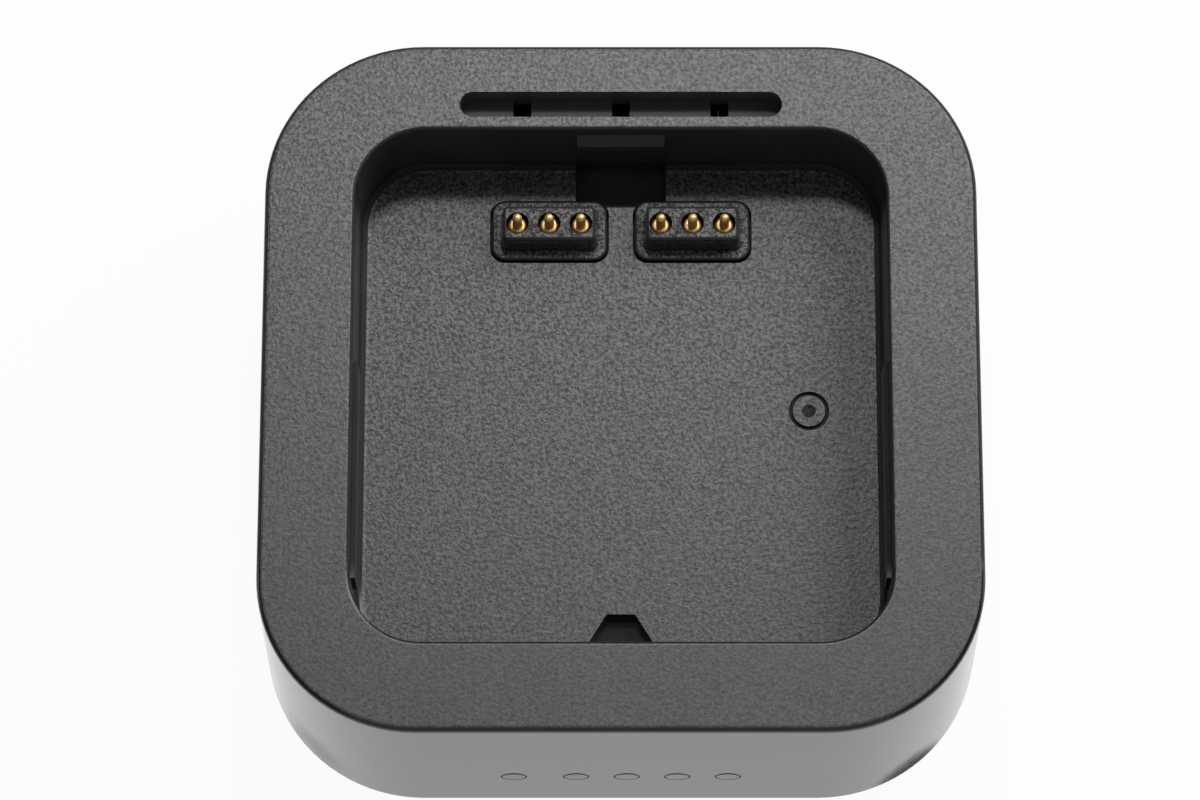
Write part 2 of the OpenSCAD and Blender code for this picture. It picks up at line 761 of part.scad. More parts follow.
// Coil spring between the barrel's bottom and the plunger's foot
function spring_point(k, j) =
    let (a = 360 * spring_turns * k / spring_steps, b = 360 * j / spring_sides)
    let (r = spring_r + spring_wire / 2 * cos(b))
    let (z = spring_low + (spring_high - spring_low) * k / spring_steps)
    [r * cos(a), r * sin(a), z + spring_wire / 2 * sin(b)];

module pin_spring(i) color([0.75, 0.75, 0.76]) at_pin(i) {
    last = spring_steps * spring_sides;
    points = [for (k = [0:spring_steps]) for (j = [0:spring_sides - 1]) spring_point(k, j)];
    skin = [for (k = [0:spring_steps - 1]) for (j = [0:spring_sides - 1])
        let (a = k * spring_sides + j, b = k * spring_sides + (j + 1) % spring_sides)
        [a, b, b + spring_sides, a + spring_sides]];
    low_end = [for (j = [spring_sides - 1:-1:0]) j];
    high_end = [for (j = [0:spring_sides - 1]) last + j];
    polyhedron(points, concat(skin, [low_end, high_end]));
}

// Contact board under the blocks, hung from two bosses, with a tongue that closes the release notch
module contact_board() color([0.1, 0.1, 0.1]) difference() {
    half = contact_screw_x + contact_board_in;
    tongue = release_w / 2 + contact_out;
    union() {
        box([-half, half], [contact_front, contact_rear], [contact_low, z_contact_board]);
        box([-tongue, tongue], [contact_rear - eps, pocket_half + tongue_out],
            [contact_low, z_contact_board]);
    }
    for (i = [0:5]) at_pin(i) post(tail_d + 2 * window_gap, 0, z_top);
    for (s = [-1, 1]) translate([s * contact_screw_x, collar_y, 0])
        post(contact_screw_d + 2 * screw_gap, 0, z_top);
}

module contact_board_screws() color([0.7, 0.7, 0.72])
    for (s = [-1, 1]) translate([s * contact_screw_x, collar_y, 0])
        screw_up(contact_screw_d, board_t + flange_t + 1, contact_low - eps);

// Connector that stands on the main board and carries the contact board's lines
module link_header() color([0.9, 0.88, 0.8]) {
    half = 8;
    len = 4.4;
    h = 4;
    pin_half = 0.32;
    y = contact_front + len / 2;
    box([-half, half], [y - len / 2, y + len / 2], [z_board, z_board + h]);
    for (i = [-2.5:1:2.5]) translate([header_pitch * i, y, 0])
        box([-pin_half, pin_half], [-pin_half, pin_half], [z_board + h - eps, contact_low]);
}

// Light guide: one bar with five windows in front and five prongs behind
module light_guide() color([0.45, 0.45, 0.46]) {
    ends = [window_xs[0] - window_d, window_xs[4] + window_d];
    box(ends, [guide_front_y, guide_rear_y], [z_window - guide_bar_h / 2, z_window + guide_bar_h / 2]);
    r = window_d / 2 - window_gap;
    front = window_wall_y - window_out;
    for (x = window_xs) {
        translate([x, front, z_window]) rotate([-90, 0, 0]) rotate_extrude() polygon(concat(
            [[0, 0]], arc(r - window_edge, window_edge, window_edge, -90, 0),
            [[r, guide_front_y - front + eps], [0, guide_front_y - front + eps]]
        ));
        translate([x, guide_rear_y - eps, z_window]) rotate([-90, 0, 0])
            cylinder(r = r, h = prong_len);
    }
}

module indicator_board() color([0.05, 0.22, 0.1])
    box([window_xs[0] - window_d, window_xs[4] + window_d],
        [indicator_y, indicator_y + board_t], [z_board, z_window + guide_bar_h]);

module indicator_led(i) color([0.93, 0.93, 0.85]) {
    half_w = 1.6;
    half_h = 1.1;
    lens_d = 1.9;
    lens_floor_d = 1.5;
    x = window_xs[i];
    difference() {
        box([x - half_w, x + half_w], [led_front_y, indicator_y], [z_window - half_h, z_window + half_h]);
        translate([x, led_front_y - eps, z_window]) rotate([-90, 0, 0])
            cylinder(d1 = lens_d, d2 = lens_floor_d, h = led_t / 3);
    }
}

// Main board: a square with a notch at each corner for the screw bosses
module main_board() color([0.05, 0.25, 0.12]) difference() {
    low = z_board - board_t;
    inner = board_half - board_notch;
    union() {
        box([-board_half, board_half], [-inner, inner], [low, z_board]);
        box([-inner, inner], [-board_half, board_half], [low, z_board]);
    }
    at_corners(board_post_x, board_post_y) post(board_screw_d + 2 * screw_gap, 0, z_top);
}

module main_board_screws() color([0.7, 0.7, 0.72]) at_corners(board_post_x, board_post_y)
    mirror([0, 0, 1]) screw_up(board_screw_d, board_t + board_rise - 1, -z_board);

// Figure-eight mains inlet that stands on the main board behind the rear wall
module inlet_socket() color([0.1, 0.1, 0.1]) difference() {
    box([inlet_x - inlet_w / 2, inlet_x + inlet_w / 2], [inlet_y - inlet_len, inlet_face_y],
        [z_board, z_board + inlet_h]);
    translate([inlet_x, inlet_y + 1, inlet_z]) rotate([90, 0, 0]) linear_extrude(inlet_deep + 1) {
        for (s = [-1, 1]) translate([s * inlet_pitch / 2, 0]) circle(r = inlet_lobe_r);
        square([inlet_pitch, 1.6 * inlet_lobe_r], center = true);
    }
    for (s = [-1, 1]) inlet_pin_at(s) cylinder(d = inlet_pin_d + 2 * seat, h = inlet_len);
}

module inlet_pin_at(s)
    translate([inlet_x + s * inlet_pitch / 2, inlet_y - inlet_len + inlet_pin_in, inlet_z])
        rotate([-90, 0, 0]) children();

module inlet_pin(s) color([0.78, 0.78, 0.8]) inlet_pin_at(s) rotate_extrude() {
    len = inlet_len - 2 * inlet_pin_in;
    polygon(concat([[0, seat], [inlet_pin_d / 2, seat]],
        arc(0, len - inlet_pin_d / 2, inlet_pin_d / 2, 0, 90)));
}

// A can on the main board: its body, with a crimp groove below its top
module can(d, h) {
    crimp = 0.03 * d;
    groove = h - 0.2 * d;
    rotate_extrude() polygon([
        [0, 0], [d / 2 - crimp, 0], [d / 2, crimp], [d / 2, groove - 2 * crimp], [d / 2 - crimp, groove],
        [d / 2, groove + 2 * crimp], [d / 2, h - crimp], [d / 2 - crimp, h], [0, h]
    ]);
}

module fuse() color([0.15, 0.15, 0.15])
    translate([fuse_at[0], fuse_at[1], z_board]) can(fuse_d, low_h);

module choke_core() color([0.25, 0.25, 0.24])
    translate([choke_at[0], choke_at[1], z_board + choke_wire_t + seat]) rotate_extrude()
        translate([choke_bore_r, 0]) square([choke_w, low_h - 2 * (choke_wire_t + seat)]);

// The two halves of the winding, wrapped round the core
module choke_winding() color([0.7, 0.36, 0.16]) translate([choke_at[0], choke_at[1], z_board])
    for (a = [20, 200]) rotate(a) rotate_extrude(angle = 140) difference() {
        translate([choke_bore_r - choke_wire_t, 0]) square([choke_w + 2 * choke_wire_t, low_h]);
        translate([choke_bore_r - seat, choke_wire_t])
            square([choke_w + 2 * seat, low_h - 2 * choke_wire_t]);
    }

module bridge_rectifier() color([0.12, 0.12, 0.12])
    translate([bridge_x, board_half - edge_in - bridge_len / 2, z_board]) {
        corner = 2;
        linear_extrude(bridge_h) polygon([
            [-bridge_w / 2, -bridge_len / 2], [bridge_w / 2, -bridge_len / 2],
            [bridge_w / 2, bridge_len / 2 - corner], [bridge_w / 2 - corner, bridge_len / 2],
            [-bridge_w / 2, bridge_len / 2]
        ]);
    }

// The input capacitor lies on its side and fills the room under the pocket floor
module input_capacitor() color([0.12, 0.14, 0.2])
    translate([cap_x, trafo_y + cap_len / 2, z_board + tall_h / 2]) rotate([90, 0, 0]) can(tall_h, cap_len);

// Transformer: a window core, a bobbin round its middle leg, and the winding
module at_trafo() translate([trafo_x, trafo_y, trafo_z]) children();

module transformer_core() color([0.2, 0.2, 0.2]) at_trafo() difference() {
    cube([core_w, core_w, core_t], center = true);
    for (s = [-1, 1]) translate([0, s * (core_leg + winding_room) / 2, 0])
        cube([bobbin_len + 2 * screw_gap, winding_room, core_t + 2], center = true);
}

module transformer_bobbin() color([0.85, 0.82, 0.7]) at_trafo() rotate([90, 0, 90]) difference() {
    flange = [core_leg + 2 * (winding_room - screw_gap), core_t + 2 * bobbin_over];
    union() {
        translate([0, 0, -bobbin_len / 2]) linear_extrude(bobbin_len)
            square([core_leg + 2 * bobbin_wall, core_t + 2 * bobbin_wall], center = true);
        for (z = [-bobbin_len / 2, bobbin_len / 2 - bobbin_flange]) translate([0, 0, z])
            linear_extrude(bobbin_flange) square(flange, center = true);
    }
    cube([core_leg + 2 * seat, core_t + 2 * seat, bobbin_len + 2], center = true);
}

module transformer_winding() color([0.86, 0.72, 0.2]) at_trafo() rotate([90, 0, 90]) {
    len = bobbin_len - 2 * (bobbin_flange + seat);
    r = 1.5;
    w = core_leg / 2 + winding_room - screw_gap - winding_in;
    h = core_t / 2 + bobbin_over - winding_in;
    translate([0, 0, -len / 2]) linear_extrude(len) difference() {
        union() {
            square([2 * (w - r), 2 * h], center = true);
            square([2 * w, 2 * (h - r)], center = true);
            at_corners(w - r, h - r) circle(r = r);
        }
        square([core_leg + 2 * (bobbin_wall + seat), core_t + 2 * (bobbin_wall + seat)], center = true);
    }
}

// Heat sink: an aluminium channel that stands beside the transistor
module heat_sink() color([0.75, 0.76, 0.78]) translate([sink_x, trafo_y, z_board]) {
    box([0, sink_t], [-sink_len / 2, sink_len / 2], [0, tall_h]);
    for (y = [-sink_len / 2, sink_len / 2 - sink_t])
        box([-sink_wing, eps], [y, y + sink_t], [0, tall_h]);
}

module power_transistor() color([0.1, 0.1, 0.1]) translate([transistor_x, trafo_y, z_board]) {
    leg_h = 1.4;
    leg_pitch = 2.5;
    leg_half = 0.4;
    box([0, transistor_t], [-transistor_w / 2, transistor_w / 2], [leg_h, tall_h - tall_step]);
    for (i = [-1:1]) translate([transistor_t / 2, i * leg_pitch, 0])
        box([-leg_half / 2, leg_half / 2], [-leg_half, leg_half], [0, leg_h + eps]);
}

module output_capacitor(i) color([0.1, 0.16, 0.14])
    translate([board_half - out_cap_in, trafo_y + (0.5 - i) * out_cap_pitch, z_board])
        can(out_cap_d, tall_h - tall_step);

module control_chip() color([0.08, 0.08, 0.08]) translate([trafo_x, chip_in - board_half, z_board]) {
    body_half = 2;
    body_low = 0.15;
    body_high = 1.75;
    reach = 3;
    lead_half = 0.2;
    lead_h = 0.5;
    lead_pitch = 1.27;
    box([-chip_w / 2, chip_w / 2], [-body_half, body_half], [body_low, body_high]);
    for (i = [-3.5:1:3.5]) for (side = [0, 180]) rotate(side) translate([lead_pitch * i, 0, 0])
        box([-lead_half, lead_half], [body_half - eps, reach], [0, lead_h]);
}

upper_housing();
bottom_cover();
foot(-1, -1);  // foot_front_left
foot(1, -1);  // foot_front_right
foot(-1, 1);  // foot_rear_left
foot(1, 1);  // foot_rear_right
case_screws();
contact_block(-1);  // contact_block_left
contact_block(1);  // contact_block_right
pin_barrel(0);  // pin_barrel_1
pin_barrel(1);  // pin_barrel_2
pin_barrel(2);  // pin_barrel_3
pin_barrel(3);  // pin_barrel_4
pin_barrel(4);  // pin_barrel_5
pin_barrel(5);  // pin_barrel_6
pin_plunger(0);  // pin_plunger_1
pin_plunger(1);  // pin_plunger_2
pin_plunger(2);  // pin_plunger_3
pin_plunger(3);  // pin_plunger_4
pin_plunger(4);  // pin_plunger_5
pin_plunger(5);  // pin_plunger_6
pin_spring(0);  // pin_spring_1
pin_spring(1);  // pin_spring_2
pin_spring(2);  // pin_spring_3
pin_spring(3);  // pin_spring_4
pin_spring(4);  // pin_spring_5
pin_spring(5);  // pin_spring_6
contact_board();
contact_board_screws();
link_header();
light_guide();
indicator_board();
indicator_led(0);  // indicator_led_1
indicator_led(1);  // indicator_led_2
indicator_led(2);  // indicator_led_3
indicator_led(3);  // indicator_led_4
indicator_led(4);  // indicator_led_5
main_board();
main_board_screws();
inlet_socket();
inlet_pin(-1);  // inlet_pin_left
inlet_pin(1);  // inlet_pin_right
fuse();
choke_core();
choke_winding();
bridge_rectifier();
input_capacitor();
transformer_core();
transformer_bobbin();
transformer_winding();
heat_sink();
power_transistor();
output_capacitor(0);  // output_capacitor_1
output_capacitor(1);  // output_capacitor_2
control_chip();
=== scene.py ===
"""Looks of the camera flash battery charger: camera, studio, and the materials of every piece."""
import json
import math

import bpy
from mathutils import Euler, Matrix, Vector

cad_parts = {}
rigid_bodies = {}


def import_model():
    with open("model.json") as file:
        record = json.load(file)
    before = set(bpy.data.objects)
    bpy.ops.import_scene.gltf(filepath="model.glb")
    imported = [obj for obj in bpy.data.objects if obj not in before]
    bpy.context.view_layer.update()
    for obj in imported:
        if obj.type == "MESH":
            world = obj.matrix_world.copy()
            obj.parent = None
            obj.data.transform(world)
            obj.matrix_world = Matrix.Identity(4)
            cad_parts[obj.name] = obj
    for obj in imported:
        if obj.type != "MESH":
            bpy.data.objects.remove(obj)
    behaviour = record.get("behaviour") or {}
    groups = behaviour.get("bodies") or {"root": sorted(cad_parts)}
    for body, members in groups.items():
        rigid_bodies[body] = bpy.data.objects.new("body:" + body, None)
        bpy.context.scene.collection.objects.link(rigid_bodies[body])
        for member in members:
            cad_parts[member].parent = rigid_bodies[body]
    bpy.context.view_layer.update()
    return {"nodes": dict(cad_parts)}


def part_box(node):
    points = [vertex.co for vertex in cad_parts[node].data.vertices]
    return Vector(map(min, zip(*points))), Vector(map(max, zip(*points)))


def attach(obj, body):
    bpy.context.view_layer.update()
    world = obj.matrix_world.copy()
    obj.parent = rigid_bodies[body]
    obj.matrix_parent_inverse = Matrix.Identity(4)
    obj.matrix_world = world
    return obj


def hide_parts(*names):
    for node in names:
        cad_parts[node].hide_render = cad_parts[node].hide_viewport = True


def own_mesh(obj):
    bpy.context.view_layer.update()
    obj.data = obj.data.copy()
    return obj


for leftover in list(bpy.data.objects):
    bpy.data.objects.remove(leftover)

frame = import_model()
NODES = frame["nodes"]
MM = 0.001

scene = bpy.context.scene

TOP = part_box("upper_housing")[1].z
POCKET_DEPTH = 14.3 * MM
FLOOR = TOP - POCKET_DEPTH

# the black plastic; sizes are in millimetres
GRAIN = 0.55              # spacing of the spark texture
GRAIN_DEPTH = 0.08
FLAT_BAND = (0.06, 0.14)  # the texture ends between these distances above or below its level
ROUGH_UP = 0.46           # roughness of the textured faces,
ROUGH_INSIDE = 0.38       # of the pocket's walls and lip,
ROUGH_DULL = 0.9          # and of level faces without texture
SMOOTH_TONE = 0.011       # tone of the smooth walls
DARK_REFLECTION_DULL = 0.6          # roughness that a painted dark reflection adds
DARK_REFLECTION_SHADE = 0.7          # share of the tone that it takes away, as painted shade
GATE_SHARE = 0.45         # tone of the gate mark, as a share of the texture's
BLACK_IOR = 1.62


# node helpers
class Shader:
    """Builds one material's nodes. Most calls return a node's output, add the node and set the material."""

    def __init__(self, name):
        self.material = bpy.data.materials.new(name)
        self.material.use_nodes = True
        self.tree = self.material.node_tree
        self.bsdf = self.tree.nodes["Principled BSDF"]
        self.place = self.add("ShaderNodeTexCoord").outputs["Object"]
        self.normal = self.add("ShaderNodeNewGeometry").outputs["Normal"]

    def add(self, kind, **settings):
        node = self.tree.nodes.new(kind)
        for key, value in settings.items():
            setattr(node, key, value)
        return node

    def feed(self, socket, value):
        if isinstance(value, bpy.types.NodeSocket):
            self.tree.links.new(value, socket)
        elif isinstance(value, (tuple, list)) and len(value) == 3 and socket.type == "RGBA":
            socket.default_value = (*value, 1)
        else:
            socket.default_value = value

    def math(self, operation, a, b=0.0, c=0.0):
        node = self.add("ShaderNodeMath", operation=operation)
        for socket, value in zip(node.inputs, (a, b, c)):
            self.feed(socket, value)
        return node.outputs[0]

    def vector(self, operation, a, b=(0, 0, 0)):
        node = self.add("ShaderNodeVectorMath", operation=operation)
        self.feed(node.inputs[0], a)
        self.feed(node.inputs[1], b)
        return node.outputs["Value" if operation in ("LENGTH", "DOT_PRODUCT", "DISTANCE") else "Vector"]

    def axis(self, vector, name):
        node = self.add("ShaderNodeSeparateXYZ")
        self.feed(node.inputs[0], vector)
        return node.outputs[name]

    def ramp(self, value, low, high, out_low=0.0, out_high=1.0, smooth=True):
        node = self.add("ShaderNodeMapRange", interpolation_type="SMOOTHSTEP" if smooth else "LINEAR")
        for key, setting in (("Value", value), ("From Min", low), ("From Max", high),
                             ("To Min", out_low), ("To Max", out_high)):
            self.feed(node.inputs[key], setting)
        return node.outputs["Result"]

    def noise(self, size, detail=2.0, rough=0.5, stretch=None, shift=0.0):
        """Noise whose features are about that many millimetres across."""
        node = self.add("ShaderNodeTexNoise")
        place = self.place
        if stretch is not None:
            place = self.vector("MULTIPLY", place, stretch)
        if shift:
            place = self.vector("ADD", place, (shift, shift, shift))
        self.feed(node.inputs["Vector"], place)
        node.inputs["Scale"].default_value = 1 / (size * MM)
        node.inputs["Detail"].default_value = detail
        node.inputs["Roughness"].default_value = rough
        return node.outputs["Fac"]

    def cells(self, size):
        """Distance from the middle of cells about that many millimetres across."""
        node = self.add("ShaderNodeTexVoronoi")
        self.feed(node.inputs["Vector"], self.place)
        node.inputs["Scale"].default_value = 1 / (size * MM)
        return node.outputs["Distance"]

    def waves(self, size, axis, distort=0.0):
        """Bands along one axis, that many millimetres apart."""
        node = self.add("ShaderNodeTexWave", wave_type="BANDS", bands_direction=axis)
        self.feed(node.inputs["Vector"], self.place)
        node.inputs["Scale"].default_value = math.tau / 20 / (size * MM)
        node.inputs["Distortion"].default_value = distort
        return node.outputs["Fac"]

    def mix(self, share, a, b):
        node = self.add("ShaderNodeMix", data_type="RGBA")
        self.feed(node.inputs["Factor"], share)
        self.feed(node.inputs["A"], a)
        self.feed(node.inputs["B"], b)
        return node.outputs["Result"]

    def blend(self, share, a, b):
        node = self.add("ShaderNodeMix", data_type="FLOAT")
        self.feed(node.inputs["Factor"], share)
        self.feed(node.inputs["A"], a)
        self.feed(node.inputs["B"], b)
        return node.outputs["Result"]

    def bump(self, height, depth, strength=1.0, normal=None):
        """Bump whose height runs from 0 to depth millimetres."""
        node = self.add("ShaderNodeBump")
        self.feed(node.inputs["Height"], height)
        self.feed(node.inputs["Strength"], strength)
        node.inputs["Distance"].default_value = depth * MM
        if normal is not None:
            self.feed(node.inputs["Normal"], normal)
        return node.outputs["Normal"]

    def set(self, **values):
        names = {"color": "Base Color", "rough": "Roughness", "metal": "Metallic", "ior": "IOR",
                 "coat": "Coat Weight", "coat_rough": "Coat Roughness", "normal": "Normal"}
        for key, value in values.items():
            self.feed(self.bsdf.inputs[names[key]], value)
        return self.material


def dress(material, *names):
    """Gives those nodes of the frame the material."""
    for name in names:
        for slot in NODES[name].material_slots:
            slot.material = material


# plastics
def grey(s, tone):
    """A colour with the same tone in each channel."""
    node = s.add("ShaderNodeCombineColor")
    for socket in node.inputs[:3]:
        s.feed(socket, tone)
    return node.outputs[0]


def near(s, value, level, inner, outer):
    """1 within inner millimetres of the level, 0 past outer."""
    gap = s.math("ABSOLUTE", s.math("SUBTRACT", value, level))
    return s.ramp(gap, inner * MM, outer * MM, 1, 0)


def specks(s, marks):
    """Dust: the strongest of a few round spots, each (x, y, z, radius, strength) in millimetres."""
    total = None
    for x, y, z, radius, strength in marks:
        gap = s.vector("DISTANCE", s.place, (x * MM, y * MM, z * MM))
        spot = s.ramp(gap, radius * 0.4 * MM, radius * MM, strength, 0)
        total = spot if total is None else s.math("MAXIMUM", total, spot)
    return total


def scratches(s, lines):
    """Fine pale lines, each from one point to another, with a half width and a strength, in millimetres."""
    total = None
    for start, end, half, strength in lines:
        start, end = Vector(start) * MM, Vector(end) * MM
        way = (end - start).normalized()
        place = s.vector("SUBTRACT", s.place, tuple(start))
        along = s.math("MINIMUM", s.math("MAXIMUM", s.vector("DOT_PRODUCT", place, tuple(way)), 0),
                       (end - start).length)
        foot = s.add("ShaderNodeVectorMath", operation="SCALE")
        foot.inputs[0].default_value = way
        s.feed(foot.inputs["Scale"], along)
        gap = s.vector("DISTANCE", place, foot.outputs["Vector"])
        line = s.ramp(gap, half * 0.3 * MM, half * MM, strength, 0)
        total = line if total is None else s.math("MAXIMUM", total, line)
    return s.math("MULTIPLY", total, s.ramp(s.noise(0.9, 2, 0.6, shift=7), 0.3, 0.6, 0.5, 1))


def within(s, low, high, soft):
    """1 inside a box, given in millimetres like its soft border, and 0 outside."""
    total = None
    for axis, a, b in zip("XYZ", low, high):
        gap = s.math("ABSOLUTE", s.math("SUBTRACT", s.axis(s.place, axis), (a + b) / 2 * MM))
        here = s.ramp(gap, ((b - a) / 2 - soft) * MM, (b - a) / 2 * MM, 1, 0)
        total = here if total is None else s.math("MULTIPLY", total, here)
    return total


def textured(s, levels, edge):
    """1 on level faces at those heights; edge gives the normal's Z where the texture ends and is full."""
    z = s.axis(s.place, "Z")
    flat = None
    for level in levels:
        here = near(s, z, level, *FLAT_BAND)
        flat = here if flat is None else s.math("MAXIMUM", flat, here)
    return s.math("MULTIPLY", s.ramp(s.axis(s.normal, "Z"), *edge), flat)


def darken_reflections(s, tone, rough, dark_reflections):
    """Tone and roughness with soft painted dark reflections near the bottom edge, each (x, y, z, width,
    height, strength) in millimetres.
    """
    for x, y, z, wide, high, strength in dark_reflections:
        place = s.vector("SUBTRACT", s.place, (x * MM, y * MM, z * MM))
        place = s.vector("MULTIPLY", place, (1 / (wide * MM), 1 / (wide * MM), 1 / (high * MM)))
        # painted dark reflection: each patch darkens the tone near the bottom edge and makes the surface
        # rougher
        reflection_patch = s.ramp(s.vector("LENGTH", place), 0.25, 1, strength, 0)
        reflection_patch = s.math("MULTIPLY", reflection_patch, s.ramp(s.noise(3, 3, 0.6, shift=8), 0.2, 0.6, 0.7, 1))
        rough = s.math("MULTIPLY_ADD", reflection_patch, DARK_REFLECTION_DULL, rough)
        tone = s.math("MULTIPLY", tone, s.math("SUBTRACT", 1, s.math("MULTIPLY", reflection_patch, DARK_REFLECTION_SHADE)))
    return tone, rough


def spark_tone(s, spots, cloud, bright):
    """Tone of the textured faces: pale grains, a little paler to the rear as a painted highlight of the key
    lamp.
    """
    pale = s.ramp(spots, -0.25, 0.25, 0, bright)
    # painted highlight: the grains get up to 28 % paler towards the rear, where the key lamp shines
    pale = s.math("MULTIPLY", pale, s.ramp(s.axis(s.place, "Y"), -8 * MM, 47 * MM, 1, 1.28, smooth=False))
    return s.math("MULTIPLY", pale, s.ramp(cloud, 0.3, 0.7, 0.92, 1.08))


def smooth_tone(s, rubbed, scratch, painted_fills):
    """Tone of the smooth walls, with fine scratches and painted light that lightens shaded recesses."""
    tone = s.ramp(rubbed, 0.3, 0.7, SMOOTH_TONE * 0.8, SMOOTH_TONE * 1.25)
    tone = s.math("MULTIPLY_ADD", scratch, 0.002, tone)
    for low, high, strength in painted_fills:
        # painted light: each box lightens the shaded recess inside it
        tone = s.math("MULTIPLY_ADD", within(s, low, high, 0.3), strength, tone)
    return tone


def smooth_gloss(s, rubbed, inside):
    """Roughness of the smooth walls, and of the dull level faces behind the front of the pocket."""
    polished = s.ramp(rubbed, 0.3, 0.7, 0.09, 0.13)
    if inside is not None:
        polished = s.blend(within(s, *inside, 0.5), polished, ROUGH_INSIDE)
    dull = s.ramp(s.math("ABSOLUTE", s.axis(s.normal, "Z")), 0.3, 0.85)
    dull = s.math("MULTIPLY", dull, s.ramp(s.axis(s.place, "Y"), -29 * MM, -25 * MM))
    return s.blend(dull, polished, ROUGH_DULL)


def moulded(name, levels, gain=1.0, bright=0.1, edge=(0.9, 0.98), marks=(), lines=(), dark_reflections=(),
            painted_fills=(), gate=None, inside=None):
    """Black moulding: spark texture on the level faces at those heights, smooth and polished elsewhere.

    gain is the contrast of the texture, bright the tone of its palest grains. marks and lines are dust and
    scratches; the two arguments after them are painted dark reflections near the bottom edge and painted
    light that lightens shaded recesses. gate is a darker spot of the texture, and inside is a box whose
    smooth walls are less polished.
    """
    s = Shader(name)
    spark = textured(s, levels, edge)
    grain = s.noise(GRAIN, 3, 0.6)
    fine = s.noise(GRAIN * 0.45, 2, 0.6, shift=0.4)
    cloud = s.noise(11, 2, 0.5, shift=1.3)
    rubbed = s.noise(7, 3, 0.6, shift=3.3)
    scratch = s.ramp(s.noise(2.4, 4, 0.7, stretch=(0.25, 0.25, 3), shift=5.1), 0.6, 0.72)

    # the texture's contrast grows to the rear and towards the pocket floor
    deep = s.ramp(s.axis(s.place, "Z"), FLOOR + 5 * MM, TOP - 5 * MM, 1.55 * gain, gain)
    contrast = s.math("MULTIPLY", s.ramp(s.axis(s.place, "Y"), -50 * MM, 40 * MM, 0.5, 1), deep)

    spots = s.math("SUBTRACT", s.math("MULTIPLY_ADD", fine, 0.7, grain), 0.85)
    pale = spark_tone(s, s.math("MULTIPLY", spots, contrast), cloud, bright)
    tone = s.blend(spark, smooth_tone(s, rubbed, scratch, painted_fills), pale)
    if gate is not None:
        centre, radius = tuple(v * MM for v in gate[:3]), gate[3] * MM
        spot = s.ramp(s.vector("DISTANCE", s.place, centre), radius * 0.8, radius * 1.1, 1, 0)
        tone = s.blend(spot, tone, s.math("MULTIPLY", pale, GATE_SHARE))
    if marks:
        tone = s.math("ADD", tone, specks(s, marks))
    if lines:
        tone = s.math("ADD", tone, scratches(s, lines))

    uneven = s.math("MULTIPLY", s.math("SUBTRACT", grain, 0.5), contrast)
    rough = s.math("MULTIPLY_ADD", uneven, -0.2, ROUGH_UP)
    rough = s.math("ADD", rough, s.ramp(cloud, 0.3, 0.7, -0.008, 0.008))
    rough = s.blend(spark, smooth_gloss(s, rubbed, inside), rough)
    tone, rough = darken_reflections(s, tone, rough, dark_reflections)

    height = s.math("MULTIPLY_ADD", fine, 0.45, grain)
    normal = s.bump(height, GRAIN_DEPTH, s.math("MULTIPLY", spark, contrast))
    normal = s.bump(scratch, 0.004, s.math("SUBTRACT", 1, spark), normal)
    return s.set(color=grey(s, tone), rough=rough, normal=normal, ior=BLACK_IOR)


def plastic(name, tone, rough=0.45, grain=0.4, depth=0.02, metal_below=None, metal_above=None):
    """Moulded plastic with a fine grain; its tinned leads lie below or above a given height."""
    s = Shader(name)
    spots = s.noise(grain, 3, 0.6)
    cloud = s.noise(grain * 16, 2, 0.5, shift=0.7)
    share = s.ramp(s.math("MULTIPLY_ADD", spots, 0.5, s.math("MULTIPLY", cloud, 0.5)), 0.35, 0.65)
    color = s.mix(share, tuple(c * 0.85 for c in tone), tuple(min(1, c * 1.15) for c in tone))
    gloss = s.ramp(cloud, 0.3, 0.7, rough - 0.04, rough + 0.05)
    if metal_below is not None or metal_above is not None:
        z = s.axis(s.place, "Z")
        if metal_below is not None:
            lead = s.ramp(z, metal_below - 0.02 * MM, metal_below, 1, 0)
        else:
            lead = s.ramp(z, metal_above, metal_above + 0.02 * MM)
        color = s.mix(lead, color, (0.6, 0.6, 0.62))
        gloss = s.blend(lead, gloss, 0.3)
        s.set(metal=lead)
    return s.set(color=color, rough=gloss, normal=s.bump(spots, depth), ior=1.5)


# metals
def gold():
    s = Shader("gold_look")
    turned = s.noise(0.5, 2, 0.5, stretch=(0.4, 0.4, 6))
    worn = s.noise(0.8, 3, 0.6, shift=0.9)
    color = s.mix(s.ramp(worn, 0.35, 0.7), (0.88, 0.53, 0.2), (0.97, 0.7, 0.36))
    return s.set(color=color, metal=1.0, rough=s.ramp(worn, 0.3, 0.7, 0.5, 0.6),
                 normal=s.bump(turned, 0.003))


def metal(name, tone, rough, grain=0.3, stretch=None, depth=0.004):
    s = Shader(name)
    spots = s.noise(grain, 3, 0.6, stretch=stretch)
    cloud = s.noise(6, 2, 0.5, shift=0.5)
    color = s.mix(s.ramp(cloud, 0.3, 0.7), tuple(c * 0.88 for c in tone), tone)
    return s.set(color=color, metal=1.0, rough=s.ramp(spots, 0.3, 0.7, rough - 0.05, rough + 0.07),
                 normal=s.bump(spots, depth))


# electronics
def around(s, name, axis="Z"):
    """Distance from the axis of a node's box, and the angle round it, in turns."""
    low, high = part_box(name)
    centre = (low + high) / 2
    place = s.vector("SUBTRACT", s.place, tuple(centre))
    first, second = {"Z": ("X", "Y"), "Y": ("X", "Z")}[axis]
    a, b = s.axis(place, first), s.axis(place, second)
    radius = s.math("SQRT", s.math("MULTIPLY_ADD", a, a, s.math("MULTIPLY", b, b)))
    return radius, s.math("DIVIDE", s.math("ARCTAN2", b, a), math.tau)


